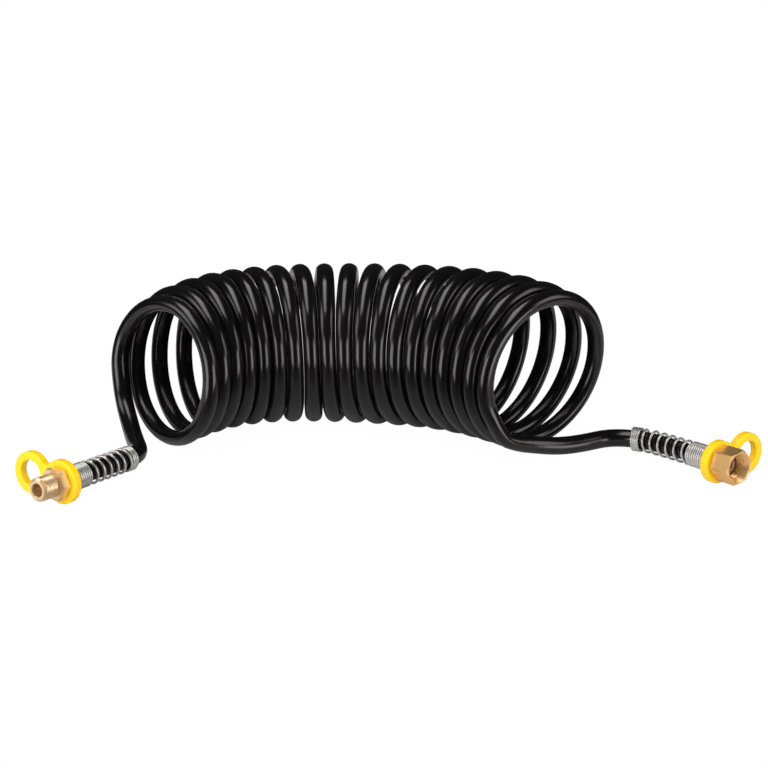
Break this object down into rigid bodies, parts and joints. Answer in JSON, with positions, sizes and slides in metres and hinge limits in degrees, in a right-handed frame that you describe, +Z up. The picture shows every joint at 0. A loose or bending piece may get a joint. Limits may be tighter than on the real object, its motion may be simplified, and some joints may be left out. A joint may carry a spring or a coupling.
{
  "type": "coiled air hose",
  "caption": "Coiled nylon air hose with a male thread fitting, a swivel nut fitting, anti-kink springs and figure-eight marker rings.",
  "frame": {"origin": "middle of the hose's footprint on the surface it lies on", "axes": "+X along the coil from the male end to the female end, +Z up, both fittings come out towards -Y"},
  "size_m": [0.5186, 0.251, 0.1262],
  "materials": {
    "hose": "extruded black nylon, half gloss",
    "fitting_brass": "bright turned brass",
    "sleeve_brass": "plain drawn brass",
    "spring_steel": "zinc-plated spring wire",
    "ring_plastic": "yellow moulded plastic, satin",
    "seal_rubber": "brown fluorocarbon rubber"
  },
  "bodies": {
    "hose": {"hose_coil": "hose", "hose_male_end": "hose", "hose_female_end": "hose", "male_nipple": "fitting_brass", "male_crimp_sleeve": "sleeve_brass", "male_spring": "spring_steel", "female_stem": "fitting_brass", "female_seat_seal": "seal_rubber", "female_crimp_sleeve": "sleeve_brass", "female_spring": "spring_steel"},
    "male_ring": {"male_marker_ring": "ring_plastic"},
    "female_ring": {"female_marker_ring": "ring_plastic"},
    "swivel_nut": {"female_swivel_nut": "fitting_brass"}
  },
  "joints": [
    {"name": "male_ring_turn", "type": "hinge", "parent": "hose", "child": "male_ring", "pos_m": [-0.22215, -0.10235, 0.0152], "axis": [-0.55, -0.831, 0.0837], "continuous": true},
    {"name": "female_ring_turn", "type": "hinge", "parent": "hose", "child": "female_ring", "pos_m": [0.22215, -0.06805, 0.0152], "axis": [0.55, -0.831, 0.0837], "continuous": true},
    {"name": "nut_swivel", "type": "hinge", "parent": "hose", "child": "swivel_nut", "pos_m": [0.2282, -0.07719, 0.01612], "axis": [0.55, -0.831, 0.0837], "continuous": true}
  ]
}
